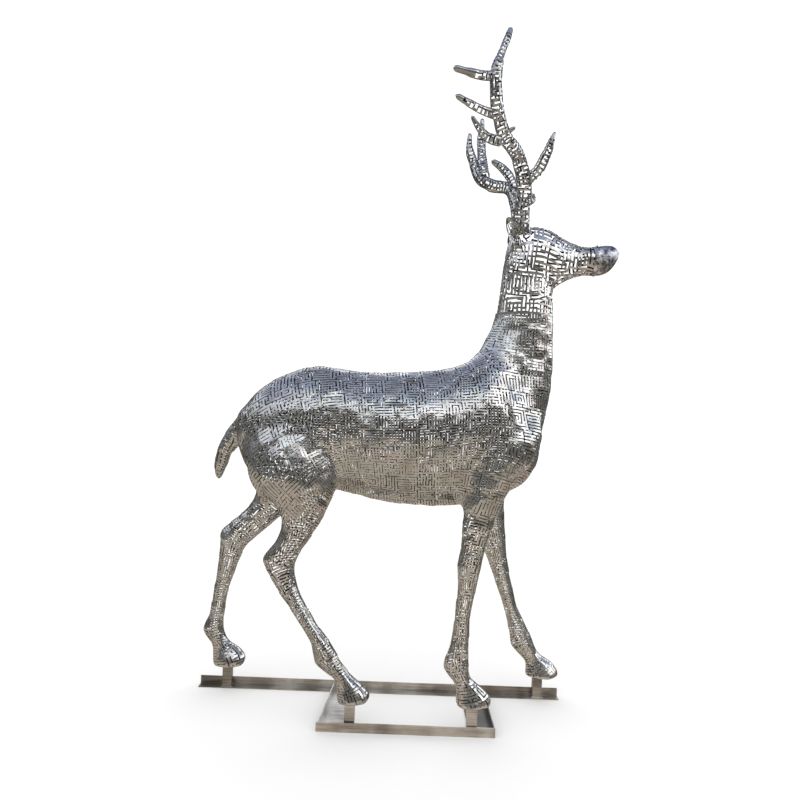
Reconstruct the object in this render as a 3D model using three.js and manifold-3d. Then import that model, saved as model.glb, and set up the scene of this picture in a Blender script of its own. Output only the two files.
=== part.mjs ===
// Walking stag in welded strip steel, standing on a low frame of steel angle.
// Millimetres, +Z up, +X towards the head, the near side of the animal at -Y.
import * as THREE from "three";
import { mergeVertices } from "three/addons/utils/BufferGeometryUtils.js";
import Module from "manifold-3d";

const wasm = await Module();
wasm.setup();

// Base frame sizes
const RAIL_LEG = 28;
const RAIL_THICK = 3;
const FIT_GAP = 0.3;
const REAR_RAIL_ENDS = [-629, 558];
const REAR_RAIL_FRONT = 104;
const FRONT_RAIL_ENDS = [-210, 311];
const FRONT_RAIL_FACE = -142;
const CROSS_RAIL_WIDTH = 72;
const HIND_CROSS_EDGE = -203;
const HIND_CROSS_SLANT = 18;
const FORE_CROSS_EDGE = 309;
const POST_WIDTH = 30;
const POST_DEPTH = 20;

// Stance
const SOLE_HEIGHT = 78;
const NEAR = -1;
const FAR = 1;
const POSTS = [
  ["near_hind_post", -114, -125],
  ["near_fore_post", 243, -125],
  ["far_hind_post", -537, 117],
  ["far_fore_post", 487, 117],
];

// Fineness of the lofted skins
const TRUNK_SIDES = 26;
const LEG_SIDES = 14;
const TAIL_SIDES = 10;
const EAR_SIDES = 10;
const BEAM_SIDES = 9;
const TINE_SIDES = 8;
const WELD_TOLERANCE = 0.05;

// Finishes
const POLISHED = { color: 0x8f8f8c, roughness: 0.22, metalness: 1.0 };
const SATIN = { color: 0x857f76, roughness: 0.38, metalness: 0.9 };

// Trunk stations from rump to nose: top x, top z, bottom x, bottom z, half width
const TRUNK = [
  // rump
  [-499, 895, -494, 864, 22],
  [-490, 922, -488, 818, 72],
  [-466, 953, -474, 764, 104],
  [-402, 1015, -415, 692, 136],
  [-300, 1060, -300, 684, 143],
  // loin and barrel
  [-232, 1067, -220, 688, 146],
  [-160, 1056, -140, 672, 150],
  [-60, 1053, -50, 653, 159],
  [40, 1060, 50, 645, 163],
  // withers and brisket
  [120, 1069, 140, 643, 159],
  [170, 1080, 235, 654, 154],
  [204, 1095, 322, 684, 151],
  [229, 1117, 395, 725, 143],
  [248, 1144, 434, 788, 124],
  [264, 1179, 443, 870, 102],
  // neck
  [280, 1218, 463, 970, 87],
  [291, 1262, 472, 1080, 80],
  [300, 1312, 470, 1190, 76],
  [306, 1372, 465, 1285, 72],
  [312, 1436, 463, 1320, 70],
  // skull
  [328, 1486, 465, 1330, 72],
  [352, 1514, 471, 1338, 75],
  [395, 1523, 483, 1347, 75],
  [446, 1516, 500, 1358, 67],
  [484, 1491, 520, 1367, 57],
  // muzzle
  [530, 1471, 550, 1375, 46],
  [580, 1467, 584, 1380, 40],
  [623, 1474, 616, 1382, 37],
  [650, 1472, 640, 1397, 30],
  [666, 1454, 658, 1423, 14],
];

// Leg stations from hip or shoulder to sole:
// front x, front z, back x, back z, offset from the middle, half width
const NEAR_HIND = [
  [-215, 905, -395, 925, 88, 35],
  [-188, 840, -435, 872, 96, 53],
  [-172, 770, -455, 812, 101, 69],
  [-174, 712, -447, 745, 104, 75],
  [-186, 672, -421, 688, 105, 70],
  [-200, 640, -366, 655, 106, 60],
  [-222, 597, -333, 606, 107, 51],
  // hock
  [-257, 540, -352, 538, 108, 42],
  [-288, 488, -388, 494, 108, 37],
  [-291, 451, -379, 461, 109, 33],
  // cannon
  [-272, 384, -343, 402, 109, 28],
  [-224, 305, -287, 322, 110, 25],
  [-176, 243, -237, 247, 110, 27],
  // fetlock
  [-143, 188, -221, 184, 110, 29],
  [-115, 153, -170, 149, 110, 24],
  // hoof
  [-80, 126, -158, 122, 110, 28],
  [-55, 99, -156, 94, 110, 38],
  [-64, SOLE_HEIGHT, -157, SOLE_HEIGHT, 110, 41],
];
const FAR_HIND = [
  [-255, 915, -410, 925, 88, 35],
  [-232, 850, -452, 880, 96, 53],
  [-235, 780, -476, 815, 101, 69],
  [-264, 705, -478, 742, 104, 74],
  [-324, 624, -462, 660, 105, 60],
  [-384, 567, -478, 613, 107, 51],
  // hock
  [-441, 515, -523, 563, 108, 43],
  [-487, 472, -573, 522, 109, 38],
  [-507, 430, -575, 462, 109, 34],
  // cannon
  [-530, 362, -583, 370, 110, 28],
  [-547, 300, -594, 302, 110, 25],
  [-553, 242, -602, 244, 110, 27],
  // fetlock
  [-554, 192, -622, 190, 110, 29],
  [-538, 158, -593, 150, 110, 24],
  // hoof
  [-502, 134, -588, 122, 110, 28],
  [-477, 103, -586, 94, 110, 38],
  [-484, SOLE_HEIGHT, -585, SOLE_HEIGHT, 110, 41],
];
const NEAR_FORE = [
  [400, 980, 228, 985, 62, 30],
  [430, 908, 207, 905, 77, 50],
  [424, 842, 200, 842, 90, 61],
  [352, 738, 194, 738, 98, 59],
  [314, 668, 195, 660, 103, 53],
  [286, 600, 197, 596, 106, 45],
  // knee
  [266, 530, 193, 528, 108, 39],
  [257, 480, 185, 486, 109, 36],
  [246, 428, 190, 430, 109, 30],
  // cannon
  [232, 350, 185, 350, 110, 26],
  [230, 285, 178, 285, 110, 25],
  [230, 235, 168, 235, 110, 27],
  // fetlock
  [232, 190, 154, 187, 110, 29],
  [240, 156, 184, 152, 110, 24],
  // hoof
  [276, 129, 195, 122, 110, 28],
  [303, 100, 195, 96, 110, 38],
  [297, SOLE_HEIGHT, 194, SOLE_HEIGHT, 110, 41],
];
const FAR_FORE = [
  [402, 980, 235, 985, 62, 30],
  [430, 908, 220, 905, 77, 50],
  [424, 842, 214, 842, 90, 61],
  [368, 738, 216, 735, 98, 59],
  [357, 662, 230, 655, 103, 53],
  [359, 590, 256, 585, 106, 45],
  // knee
  [367, 505, 288, 502, 108, 39],
  [375, 450, 309, 450, 109, 36],
  [386, 392, 332, 391, 109, 30],
  // cannon
  [408, 314, 362, 311, 110, 26],
  [434, 257, 380, 254, 110, 25],
  [458, 212, 390, 206, 110, 27],
  // fetlock
  [473, 178, 396, 171, 110, 29],
  [493, 146, 435, 136, 110, 24],
  // hoof
  [532, 122, 445, 116, 110, 28],
  [555, 92, 446, 92, 110, 38],
  [551, SOLE_HEIGHT, 446, SOLE_HEIGHT, 110, 41],
];

// Tail stations from root to tip: outer x, outer z, inner x, inner z, half width
const TAIL = [
  [-452, 955, -428, 880, 40],
  [-492, 918, -462, 838, 40],
  [-525, 873, -487, 811, 36],
  [-555, 828, -513, 789, 31],
  [-571, 770, -530, 749, 26],
  [-571, 722, -546, 711, 14],
  [-561, 699, -555, 697, 4],
];

// Antler branches from root to tip: x, distance from the middle, z, radius
const NEAR_ANTLER = {
  beam: [
    [352, 42, 1485, 27],
    [349, 65, 1571, 24],
    [348, 90, 1632, 24],
    [315, 140, 1689, 22],
    [270, 190, 1722, 20],
    [238, 235, 1783, 19],
    [229, 255, 1860, 18],
    [242, 250, 1920, 12],
    [267, 232, 1996, 9],
  ],
  brow: [
    [342, 90, 1634, 20],
    [379, 105, 1656, 18],
    [399, 120, 1694, 16],
    [413, 130, 1735, 12],
    [420, 135, 1757, 6],
  ],
  low: [
    [266, 190, 1708, 18],
    [220, 200, 1713, 15],
    [191, 205, 1741, 10],
    [176, 205, 1763, 7],
  ],
  middle: [
    [240, 235, 1760, 16],
    [195, 245, 1768, 13],
    [155, 250, 1786, 11],
    [130, 250, 1800, 9],
  ],
  high: [
    [231, 255, 1857, 16],
    [190, 262, 1854, 14],
    [151, 265, 1861, 12],
    [122, 265, 1868, 10],
  ],
  nub: [
    [262, 190, 1726, 12],
    [290, 200, 1741, 6],
  ],
};
const FAR_ANTLER = {
  beam: [
    [362, 42, 1500, 24],
    [354, 75, 1612, 21],
    [336, 105, 1674, 21],
    [285, 150, 1702, 22],
    [246, 190, 1739, 20],
    [227, 215, 1794, 17],
    [212, 225, 1850, 14],
    [210, 225, 1898, 9],
  ],
  branch: [
    [262, 176, 1733, 21],
    [255, 215, 1812, 19],
    [252, 240, 1892, 15],
    [254, 245, 1961, 9],
  ],
  inner: [
    [348, 88, 1640, 18],
    [342, 98, 1702, 17],
    [313, 112, 1747, 15],
    [285, 118, 1768, 11],
  ],
  brow: [
    [352, 77, 1614, 19],
    [402, 105, 1640, 17],
    [424, 150, 1672, 11],
  ],
};

// Ears: root and tip as x, distance from the middle, z; blade half width, half thickness and cupping
const NEAR_EAR = [[350, 46, 1466], [302, 86, 1524]];
const FAR_EAR = [[356, 48, 1466], [350, 78, 1536]];
const EAR_HALF_WIDTH = 25;
const EAR_HALF_THICK = 6;
const EAR_CUP = 11;
const EAR_RINGS = 9;

// Smooth rows between the given rows, so that the skin passes through each of them
function between(rows, steps) {
  const out = [];
  for (let i = 0; i + 1 < rows.length; i++) {
    const before = rows[Math.max(i - 1, 0)];
    const after = rows[Math.min(i + 2, rows.length - 1)];
    for (let s = 0; s < steps; s++) {
      const t = s / steps;
      out.push(rows[i].map((start, k) => {
        const end = rows[i + 1][k];
        const leave = (end - before[k]) / 2;
        const arrive = (after[k] - start) / 2;
        const hold = (2 * t ** 3 - 3 * t ** 2 + 1) * start + (3 * t ** 2 - 2 * t ** 3) * end;
        return hold + (t ** 3 - 2 * t ** 2 + t) * leave + (t ** 3 - t ** 2) * arrive;
      }));
    }
  }
  out.push(rows[rows.length - 1]);
  return out;
}

// Closed skin over rings of points, capped at both ends
function skin(rings) {
  const sides = rings[0].length;
  const points = rings.flat();
  const middle = (ring) => ring.reduce((sum, p) => sum.add(p), new THREE.Vector3()).divideScalar(sides);
  const first = points.length;
  points.push(middle(rings[0]), middle(rings[rings.length - 1]));
  const faces = [];
  for (let r = 0; r + 1 < rings.length; r++) {
    for (let s = 0; s < sides; s++) {
      const a = r * sides + s;
      const b = r * sides + ((s + 1) % sides);
      faces.push(a, b, b + sides, a, b + sides, a + sides);
    }
  }
  const last = (rings.length - 1) * sides;
  for (let s = 0; s < sides; s++) {
    const next = (s + 1) % sides;
    faces.push(first, next, s, first + 1, last + s, last + next);
  }
  const geometry = new THREE.BufferGeometry().setFromPoints(points);
  geometry.setIndex(faces);
  return geometry;
}

// Solid for joining, turned to face outwards
function solid(geometry) {
  const bare = new THREE.BufferGeometry();
  bare.setAttribute("position", geometry.attributes.position);
  bare.setIndex(geometry.index);
  const merged = mergeVertices(bare, 0.001);
  const triVerts = new Uint32Array(merged.index.array);
  const vertProperties = new Float32Array(merged.attributes.position.array);
  const made = new wasm.Manifold(new wasm.Mesh({ numProp: 3, vertProperties, triVerts }));
  if (made.volume() > 0) {
    return made;
  }
  for (let i = 0; i < triVerts.length; i += 3) {
    [triVerts[i + 1], triVerts[i + 2]] = [triVerts[i + 2], triVerts[i + 1]];
  }
  return new wasm.Manifold(new wasm.Mesh({ numProp: 3, vertProperties, triVerts }));
}

// Back to a drawable geometry
function drawable(made) {
  const mesh = made.getMesh();
  const geometry = new THREE.BufferGeometry();
  geometry.setAttribute("position", new THREE.BufferAttribute(new Float32Array(mesh.vertProperties), 3));
  geometry.setIndex(Array.from(mesh.triVerts));
  geometry.computeVertexNormals();
  return geometry;
}

// Rounded cross-section between two outline points, widened sideways
function crossSection(row, sides, squareness) {
  const [ax, az, bx, bz, y, half] = row;
  const ring = [];
  for (let s = 0; s < sides; s++) {
    const turn = (2 * Math.PI * s) / sides;
    const along = Math.sign(Math.cos(turn)) * Math.abs(Math.cos(turn)) ** (2 / squareness);
    const across = Math.sign(Math.sin(turn)) * Math.abs(Math.sin(turn)) ** (2 / squareness);
    const x = (ax + bx) / 2 + ((ax - bx) / 2) * along;
    const z = (az + bz) / 2 + ((az - bz) / 2) * along;
    ring.push(new THREE.Vector3(x, y + half * across, z));
  }
  return ring;
}

function outlineLoft(rows, sides, steps, squareness) {
  return solid(skin(between(rows, steps).map((row) => crossSection(row, sides, squareness))));
}

function leg(rows, side) {
  const placed = rows.map(([ax, az, bx, bz, y, half]) => [ax, az, bx, bz, side * y, half]);
  return outlineLoft(placed, LEG_SIDES, 2, 2.2);
}

// Tapered branch along a curve, with a rounded tip
function branch(rows, side, sides) {
  const path = between(rows, 2);
  const place = ([x, y, z]) => new THREE.Vector3(x, side * y, z);
  const tip = path[path.length - 1];
  const run = place(tip).sub(place(path[path.length - 2])).normalize();
  for (const [reach, share] of [[0.6, 0.8], [0.95, 0.35]]) {
    const end = place(tip).addScaledVector(run, reach * tip[3]);
    path.push([end.x, side * end.y, end.z, share * tip[3]]);
  }
  const lean = new THREE.Vector3(0.35, 0.9, 0.25).normalize();
  const rings = path.map((row, i) => {
    const from = place(path[Math.max(i - 1, 0)]);
    const heading = place(path[Math.min(i + 1, path.length - 1)]).sub(from).normalize();
    const u = new THREE.Vector3().crossVectors(heading, lean).normalize();
    const v = new THREE.Vector3().crossVectors(heading, u);
    const ring = [];
    for (let s = 0; s < sides; s++) {
      const turn = (2 * Math.PI * s) / sides;
      const point = place(row).addScaledVector(u, row[3] * Math.cos(turn));
      ring.push(point.addScaledVector(v, row[3] * Math.sin(turn)));
    }
    return ring;
  });
  return solid(skin(rings));
}

function antler(branches, side) {
  return Object.entries(branches).map(([name, rows]) => {
    const sides = name === "beam" ? BEAM_SIDES : TINE_SIDES;
    return branch(rows, side, sides);
  });
}

// Cupped leaf standing up and out from the poll
function ear(ends, side) {
  const [root, tip] = ends.map(([x, y, z]) => new THREE.Vector3(x, side * y, z));
  const run = tip.clone().sub(root);
  const heading = run.clone().normalize();
  const open = new THREE.Vector3(-0.2, side, 0).projectOnPlane(heading).normalize();
  const width = new THREE.Vector3().crossVectors(heading, open);
  const rings = [];
  for (let r = 0; r < EAR_RINGS; r++) {
    const t = r / (EAR_RINGS - 1);
    const swell = Math.sin(Math.PI * (0.2 + 0.7 * t)) ** 0.6;
    const ring = [];
    for (let s = 0; s < EAR_SIDES; s++) {
      const turn = (2 * Math.PI * s) / EAR_SIDES;
      const aside = Math.cos(turn) * EAR_HALF_WIDTH * swell;
      const lift = Math.sin(turn) * EAR_HALF_THICK + Math.cos(turn) ** 2 * EAR_CUP * swell;
      const point = root.clone().addScaledVector(run, t);
      ring.push(point.addScaledVector(width, aside).addScaledVector(open, lift));
    }
    rings.push(ring);
  }
  return solid(skin(rings));
}

// Stations set on the middle plane
function centred(rows) {
  return rows.map(([ax, az, bx, bz, half]) => [ax, az, bx, bz, 0, half]);
}

function deer() {
  const trunk = outlineLoft(centred(TRUNK), TRUNK_SIDES, 2, 2.15);
  const tail = outlineLoft(centred(TAIL), TAIL_SIDES, 2, 2);
  const legs = [leg(NEAR_HIND, NEAR), leg(NEAR_FORE, NEAR), leg(FAR_HIND, FAR), leg(FAR_FORE, FAR)];
  const antlers = [...antler(NEAR_ANTLER, NEAR), ...antler(FAR_ANTLER, FAR)];
  const ears = [ear(NEAR_EAR, NEAR), ear(FAR_EAR, FAR)];
  const whole = wasm.Manifold.union([trunk, tail, ...legs, ...ears, ...antlers]);
  return drawable(whole.simplify(WELD_TOLERANCE));
}

// Steel angle lying along X: one leg flat on the ground, the other upright at its outer edge
function angleAlongX(length, uprightAtBack) {
  const shape = new THREE.Shape();
  const far = uprightAtBack ? RAIL_LEG : 0;
  const inner = uprightAtBack ? RAIL_LEG - RAIL_THICK : RAIL_THICK;
  const edge = RAIL_LEG - far;
  shape.moveTo(edge, 0);
  shape.lineTo(far, 0);
  shape.lineTo(far, RAIL_LEG);
  shape.lineTo(inner, RAIL_LEG);
  shape.lineTo(inner, RAIL_THICK);
  shape.lineTo(edge, RAIL_THICK);
  shape.closePath();
  const geometry = new THREE.ExtrudeGeometry(shape, { depth: length, bevelEnabled: false });
  const sideways = new THREE.Vector3(0, 1, 0);
  const upward = new THREE.Vector3(0, 0, 1);
  const forward = new THREE.Vector3(1, 0, 0);
  return geometry.applyMatrix4(new THREE.Matrix4().makeBasis(sideways, upward, forward));
}

// Wide angle across the frame: its upright leg reaches over the front rail's flat leg,
// and its rear end may stand a little further forward than its front end
function crossRail(uprightX, inward, slant) {
  const back = REAR_RAIL_FRONT - FIT_GAP;
  const front = FRONT_RAIL_FACE + RAIL_LEG + FIT_GAP;
  const reach = FRONT_RAIL_FACE + RAIL_THICK + FIT_GAP;
  const flat = new THREE.BoxGeometry(CROSS_RAIL_WIDTH, back - front, RAIL_THICK);
  flat.translate(uprightX + (inward * CROSS_RAIL_WIDTH) / 2, (back + front) / 2, RAIL_THICK / 2);
  const tall = new THREE.BoxGeometry(RAIL_THICK, back - front, RAIL_LEG);
  tall.translate(uprightX + (inward * RAIL_THICK) / 2, (back + front) / 2, RAIL_LEG / 2);
  const lowest = RAIL_THICK + FIT_GAP;
  const tongue = new THREE.BoxGeometry(RAIL_THICK, front - reach + RAIL_THICK, RAIL_LEG - lowest);
  const middleY = (front + RAIL_THICK + reach) / 2;
  tongue.translate(uprightX + (inward * RAIL_THICK) / 2, middleY, (RAIL_LEG + lowest) / 2);
  const rail = drawable(wasm.Manifold.union([flat, tall, tongue].map(solid)));
  const lean = slant / (back - front);
  rail.applyMatrix4(new THREE.Matrix4().makeShear(0, 0, lean, 0, 0, 0));
  rail.translate(-lean * front, 0, 0);
  return rail;
}

function post() {
  return new THREE.BoxGeometry(POST_WIDTH, POST_DEPTH, SOLE_HEIGHT - RAIL_THICK - 2 * FIT_GAP);
}

const sculpture = new THREE.Group();

function place(name, geometry, finish, x, y, z) {
  const mesh = new THREE.Mesh(geometry, new THREE.MeshStandardMaterial(finish));
  mesh.name = name;
  mesh.position.set(x, y, z);
  sculpture.add(mesh);
  return mesh;
}

place("deer", deer(), POLISHED, 0, 0, 0);

const rearLength = REAR_RAIL_ENDS[1] - REAR_RAIL_ENDS[0];
place("rear_rail", angleAlongX(rearLength, true), SATIN, REAR_RAIL_ENDS[0], REAR_RAIL_FRONT, 0);
const frontLength = FRONT_RAIL_ENDS[1] - FRONT_RAIL_ENDS[0];
place("front_rail", angleAlongX(frontLength, false), SATIN, FRONT_RAIL_ENDS[0], FRONT_RAIL_FACE, 0);
place("hind_cross_rail", crossRail(HIND_CROSS_EDGE, 1, HIND_CROSS_SLANT), SATIN, 0, 0, 0);
place("fore_cross_rail", crossRail(FORE_CROSS_EDGE, -1, 0), SATIN, 0, 0, 0);

for (const [name, x, y] of POSTS) {
  place(name, post(), SATIN, x, y, (SOLE_HEIGHT + RAIL_THICK) / 2);
}

// Origin at the middle of the underside
const extent = new THREE.Box3().setFromObject(sculpture);
const middle = extent.getCenter(new THREE.Vector3());
for (const mesh of sculpture.children) {
  mesh.position.sub(new THREE.Vector3(middle.x, middle.y, extent.min.z));
}

export default sculpture;
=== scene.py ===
import math
import random
from collections import Counter, deque

import bmesh
import bpy
import numpy as np
from mathutils import Matrix, Vector
from mathutils.bvhtree import BVHTree


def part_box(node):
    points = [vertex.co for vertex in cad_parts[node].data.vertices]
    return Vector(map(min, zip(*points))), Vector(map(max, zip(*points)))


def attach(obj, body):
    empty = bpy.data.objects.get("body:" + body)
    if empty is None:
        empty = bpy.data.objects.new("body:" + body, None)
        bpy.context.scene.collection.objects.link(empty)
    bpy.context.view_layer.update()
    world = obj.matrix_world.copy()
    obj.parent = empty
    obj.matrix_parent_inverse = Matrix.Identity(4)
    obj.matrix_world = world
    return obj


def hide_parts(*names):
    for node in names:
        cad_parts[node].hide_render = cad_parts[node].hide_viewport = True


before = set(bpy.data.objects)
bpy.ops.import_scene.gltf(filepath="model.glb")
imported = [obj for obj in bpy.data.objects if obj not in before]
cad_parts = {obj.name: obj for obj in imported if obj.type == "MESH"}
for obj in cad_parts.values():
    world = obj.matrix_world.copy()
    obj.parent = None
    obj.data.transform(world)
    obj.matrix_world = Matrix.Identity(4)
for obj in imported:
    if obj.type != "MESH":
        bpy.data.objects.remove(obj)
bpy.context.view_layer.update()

# Middle plane of the animal in the row frame
MIDDLE = 0.01065

# Lattice that the strips follow: finer on the body, coarser on the head above a seam round the neck
VOXEL = 0.006
BODY_PITCH = 0.0088
HEAD_PITCH = 0.0124
LATTICE_SEED = 1
LATTICE_LAP = 0.016
SAME_PLACE = 1e-6
CLOSE_BY = 5e-4
SLIVER = 2e-4
STRIP_THICK = 0.0032
SHARP_ANGLE = math.radians(38)

# Rounds of smoothing on the trunk, the head, the legs and tail, and the antler feet and ears
SMOOTH_TRUNK = 40
SMOOTH_HEAD = 10
SMOOTH_LIMBS = 7
SMOOTH_THIN = 2
SMOOTH_STEP = 0.5
PUSHED_BACK = 3

# Pattern: sides of its blocks in lattice points, kinds of block with their weights, and unevenness
PATTERN_SEED = 11
FIRST_SIDES = (7, 6, 6, 5)
BLOCK_SIDES = (7, 6, 5, 4)
FILLING_SIDES = ((4, 3), (3, 2), (2,))
SIDES_DIFFER = 2
MOTIFS = {"maze": 40, "bends": 15, "comb": 10, "teeth": 14, "snake": 9, "rings": 7, "coil": 5}
STRAIGHT_ON = 0.7
STROKES_DROPPED = 0.08
STROKES_ADDED = 0.04
TILE_TILT = 0.0021
TILT_REACH = 0.03
NODE_RIPPLE = 0.0003
NODE_STRAY = 0.12
SMALLEST_CLUSTER = 10
SMALLEST_PATCH = 150

# Half width of a strip as a share of the lattice pitch, and how much it varies from block to block
SHARE_BACK = 0.30
SHARE_BELLY = 0.355
SHARE_FAR = 0.385
SHARE_NECK = 0.35
SHARE_HEAD = 0.20
SHARE_MUZZLE = 0.30
SHARE_EAR = 0.19
SHARE_LEG = 0.28
SHARE_HOOF = 0.35
SHARE_ANTLER = 0.215
SHARE_VARIES = 0.05

# Closed sheet over the end of the muzzle, and band over the seam round the neck
SHEET_THICK = 0.0025
SHEET_PROUD = 0.0012
SEAM_HALF_HEIGHT = 0.003
ON_SEAM = 1e-5

# Ears: root and tip in millimetres as x, distance from the middle plane, z; then the leaf, and how
# close to it the strips of the head stop
NEAR_EAR = ((331, 46, 1466), (283, 86, 1524))
FAR_EAR = ((337, 48, 1466), (331, 78, 1536))
EAR_HALF_WIDTH = 0.025
EAR_CUP = 0.011
EAR_ROWS = 11
EAR_COLUMNS = (-1, -0.8, -0.48, -0.16, 0.16, 0.48, 0.8, 1)
EAR_BACKWARD = -0.2
EAR_START = 0.1
EAR_LENGTH = 0.93
EAR_SWELL_START = 0.2
EAR_SWELL_LENGTH = 0.76
EAR_SWELL_POWER = 0.7
EAR_FREE_FROM = 0.3
EAR_MARGIN = 1.1
EAR_GAP = 0.012

# Antler strips
ANTLER_PITCH = 0.0122
ANTLER_RING_ODDS = 0.55
ANTLER_RUN_ODDS = 0.22
ANTLER_LEAN = Vector((0.35, 0.9, 0.25)).normalized()
ANTLER_TIP_ROWS = ((0.6, 0.8), (0.95, 0.35), (1.05, 0.04))
PATH_STEPS = 12
FEWEST_AROUND = 6
DEEP_INSIDE = 0.003
BRANCH_LAP = 0.011
FOOT_REACH = 0.02

# Antler branches from root to tip in millimetres, forward of the frame's middle: x, distance from the
# middle plane, z and radius; the last number of each branch is the length of closed sheet at its tip
NEAR_ANTLER = (
    (((333, 42, 1485, 27), (330, 65, 1571, 24), (329, 90, 1632, 24), (296, 140, 1689, 22),
      (251, 190, 1722, 20), (219, 235, 1783, 19), (210, 255, 1860, 18), (223, 250, 1920, 12),
      (248, 232, 1996, 9)), 16),
    (((323, 90, 1634, 20), (360, 105, 1656, 18), (380, 120, 1694, 16), (394, 130, 1735, 12),
      (401, 135, 1757, 6)), 14),
    (((247, 190, 1708, 18), (201, 200, 1713, 15), (172, 205, 1741, 10), (157, 205, 1763, 7)), 14),
    (((221, 235, 1760, 16), (176, 245, 1768, 13), (136, 250, 1786, 11), (111, 250, 1800, 9)), 20),
    (((212, 255, 1857, 16), (171, 262, 1854, 14), (132, 265, 1861, 12), (103, 265, 1868, 10)), 55),
    (((243, 190, 1726, 12), (271, 200, 1741, 6)), 12),
)
FAR_ANTLER = (
    (((343, 42, 1500, 24), (335, 75, 1612, 21), (317, 105, 1674, 21), (266, 150, 1702, 22),
      (227, 190, 1739, 20), (208, 215, 1794, 17), (193, 225, 1850, 14), (191, 225, 1898, 9)), 20),
    (((243, 176, 1733, 21), (236, 215, 1812, 19), (233, 240, 1892, 15), (235, 245, 1961, 9)), 16),
    (((329, 88, 1640, 18), (323, 98, 1702, 17), (294, 112, 1747, 15), (266, 118, 1768, 11)), 14),
    (((333, 77, 1614, 19), (383, 105, 1640, 17), (405, 150, 1672, 11)), 14),
)

# Places where one part of the animal ends and the next begins
ANTLER_FOOT = 1.535
HEAD_SHORT = 0.006
EAR_FOOT = 1.46
EAR_OUT = 0.058
NECK_SEAM = 1.246
SEAM_LAP = 0.002
HEAD_CLEAR = 0.025
NECK_FOOT = 1.10
NECK_BACK = 0.2
BELLY_TOP = 0.86
CHEST_FRONT = 0.45
FAR_SIDE = 0.03
LEG_TOP = 0.62
HOOF_TOP = 0.17
SOLE_SHEET = 0.084
FORE_HIND = -0.04
TAIL_ROOT = -0.5
NOSE_SHEET = 0.562
MUZZLE_REACH = 0.06

# Line of strips along the top of the head: how far it slants, half its width, how far it faces up
TOP_SLANT = 0.4
TOP_HALF_WIDTH = 0.008
TOP_FACING = 0.2

# Weld lumps: a joint across the rear rail, and the feet of the posts
RAIL_JOINT = 0.2735
RAIL_THICK = 0.003
JOINT_LUMPS = 9
JOINT_LUMP_SIZE = (0.0014, 0.0021)
POSTS = ("near_hind_post", "near_fore_post", "far_hind_post", "far_fore_post")
POST_LUMPS = 7
POST_LUMP_SIZE = (0.0035, 0.0055)
POST_LUMP_RISE = 0.0015
LUMP_SHAPE = (1, 0.8, 0.7, 1)

# Steel colours: strips from dark to light, with a lighter copy on the fore legs as painted light and a
# darker copy on the antlers and ears as painted shade, and painted dark reflections and painted shade at
# shares of the way along the rails
TINT_PLACES = (0.3, 0.55, 0.8)
BODY_TINTS = ((0.50, 0.48, 0.44), (0.66, 0.655, 0.64), (0.75, 0.75, 0.75))
# Lighter copy of the body's steel tints for the fore legs: painted light
FORE_LEG_LIT_TINTS = ((0.62, 0.595, 0.54), (0.77, 0.76, 0.73), (0.86, 0.86, 0.85))
# Darker copy of the same steel tints for the antlers and ears: painted shade
ANTLER_SHADED_TINTS = ((0.34, 0.34, 0.335), (0.50, 0.505, 0.50), (0.67, 0.675, 0.67))
# Rail colours: the pale steel itself, then a dimmer and a dark value that are painted dark reflection and
# painted shade
PALE, PAINTED_DIM, PAINTED_DARK = (0.93, 0.92, 0.90), (0.58, 0.56, 0.54), (0.22, 0.21, 0.20)
RAIL_PAINTED_REFLECTIONS = (
    (0.0, PAINTED_DIM),
    (0.10, PAINTED_DIM),
    (0.22, PALE),
    (0.765, PALE),
    (0.785, PAINTED_DIM),
    (0.88, PAINTED_DIM),
    (0.90, PALE),
)
# Cross rails: pale steel, then dark past a share of the way along X as painted shade and painted dark
# reflection
CROSS_PAINTED_SHADE = ((0.0, PALE), (0.55, PALE), (0.60, PAINTED_DARK))
RAIL_ENDS = (-0.66, 0.56)

# Surroundings in the reflections from straight down to straight up: ground, then two skies, then zenith
GROUND = ((0.0, (0.55, 0.475, 0.395)), (0.40, (0.53, 0.47, 0.40)), (0.47, (0.14, 0.14, 0.13)))
BRIGHT_SKY = (
    (0.70, (0.20, 0.20, 0.20)),
    (0.725, (2.0, 2.02, 2.06)),
    (0.83, (1.7, 1.78, 1.94)),
    (0.89, (0.42, 0.49, 0.70)),
)
DIM_SKY = (
    (0.70, (0.22, 0.22, 0.23)),
    (0.735, (0.84, 0.89, 1.0)),
    (0.83, (0.72, 0.79, 0.94)),
    (0.90, (0.40, 0.47, 0.68)),
)
ZENITH = ((1.0, (0.33, 0.385, 0.53)),)
SKY_HUES = ((0.36, (0.92, 1.0, 0.93)), (0.5, (1.0, 1.0, 1.0)), (0.64, (1.07, 0.98, 0.96)))
STUDIO_LIGHT = 1.2

# Floor and camera
FLOOR_REACH = 30
CAMERA_PLACE = (-0.0185, -1.927, 0.969)
CAMERA_LENS = 27.9
CAMERA_SENSOR = 36
CAMERA_ROLL = math.radians(2.1)

rng = random.Random(PATTERN_SEED)


def region(p):
    """Name of the part of the animal that a point belongs to."""
    x, y, z = p
    near = y < MIDDLE
    if z > NECK_FOOT and x > NECK_BACK:
        return "neck"
    if z < LEG_TOP:
        if x < FORE_HIND:
            return "near_hind_leg" if near else "far_hind_leg"
        return "near_fore_leg" if near else "far_fore_leg"
    return "hind_trunk" if x < FORE_HIND else "fore_trunk"


def mesh_points(mesh):
    """Places of all vertices of a mesh."""
    points = np.zeros(len(mesh.vertices) * 3)
    mesh.vertices.foreach_get("co", points)
    return points.reshape(-1, 3)


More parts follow.
